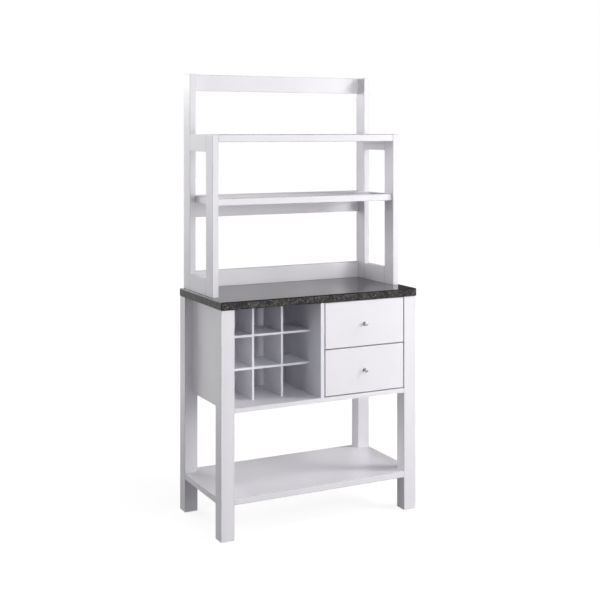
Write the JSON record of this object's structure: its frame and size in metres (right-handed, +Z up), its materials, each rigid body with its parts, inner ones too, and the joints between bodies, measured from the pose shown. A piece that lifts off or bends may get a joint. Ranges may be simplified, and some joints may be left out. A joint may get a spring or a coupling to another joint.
{
  "type": "bakers rack",
  "caption": "White kitchen bakers rack with a speckled dark counter, wine lattice, two drawers, a low shelf and an open hutch of two shelves.",
  "frame": {"origin": "on the floor, under the middle of the whole rack's box", "axes": "+X to the right as seen from the front, the drawers face -Y, +Z up"},
  "size_m": [0.876, 0.459, 1.798],
  "materials": {
    "white_paint": "satin white paint",
    "white_hardboard": "smooth white foil",
    "drawer_liner": "matte white foil",
    "speckled_counter": "stone-look laminate, satin",
    "brushed_nickel": "brushed",
    "zinc_plated_steel": "zinc plated",
    "nylon": "matte",
    "bare_beech": "bare"
  },
  "bodies": {
    "frame": {"back_panel": "white_hardboard", "backsplash": "white_paint", "cabinet_floor": "white_paint", "cabinet_runner_pads": "nylon", "cabinet_runner_screws": "zinc_plated_steel", "cabinet_runners_lower": "zinc_plated_steel", "cabinet_runners_upper": "zinc_plated_steel", "cam_bolts": "zinc_plated_steel", "cam_locks": "zinc_plated_steel", "centre_partition": "white_paint", "counter_rail_left": "white_paint", "counter_rail_right": "white_paint", "countertop": "speckled_counter", "hutch_screws": "zinc_plated_steel", "leg_front_left": "white_paint", "leg_front_right": "white_paint", "leg_glides": "nylon", "leg_rear_left": "white_paint", "leg_rear_right": "white_paint", "lower_shelf": "white_paint", "middle_rail": "white_paint", "middle_shelf": "white_paint", "post_front_left": "white_paint", "post_front_right": "white_paint", "post_rear_left": "white_paint", "post_rear_right": "white_paint", "side_panel_left": "white_paint", "side_panel_right": "white_paint", "top_rail": "white_paint", "top_shelf": "white_paint", "top_side_rail_left": "white_paint", "top_side_rail_right": "white_paint", "wine_level_1": "white_paint", "wine_level_2": "white_paint", "wine_upright_1": "white_paint", "wine_upright_2": "white_paint", "wood_dowels": "bare_beech"},
    "lower_drawer": {"lower_drawer_back": "drawer_liner", "lower_drawer_bottom": "drawer_liner", "lower_drawer_dowels": "bare_beech", "lower_drawer_front": "white_paint", "lower_drawer_knob": "brushed_nickel", "lower_drawer_knob_screw": "zinc_plated_steel", "lower_drawer_pads": "nylon", "lower_drawer_runner_screws": "zinc_plated_steel", "lower_drawer_runners": "zinc_plated_steel", "lower_drawer_side_left": "drawer_liner", "lower_drawer_side_right": "drawer_liner"},
    "upper_drawer": {"upper_drawer_back": "drawer_liner", "upper_drawer_bottom": "drawer_liner", "upper_drawer_dowels": "bare_beech", "upper_drawer_front": "white_paint", "upper_drawer_knob": "brushed_nickel", "upper_drawer_knob_screw": "zinc_plated_steel", "upper_drawer_pads": "nylon", "upper_drawer_runner_screws": "zinc_plated_steel", "upper_drawer_runners": "zinc_plated_steel", "upper_drawer_side_left": "drawer_liner", "upper_drawer_side_right": "drawer_liner"}
  },
  "joints": [
    {"name": "lower_drawer_slide", "type": "slide", "parent": "frame", "child": "lower_drawer", "axis": [0, -1, 0], "range_m": [0, 0.2]},
    {"name": "upper_drawer_slide", "type": "slide", "parent": "frame", "child": "upper_drawer", "axis": [0, -1, 0], "range_m": [0, 0.2]}
  ]
}
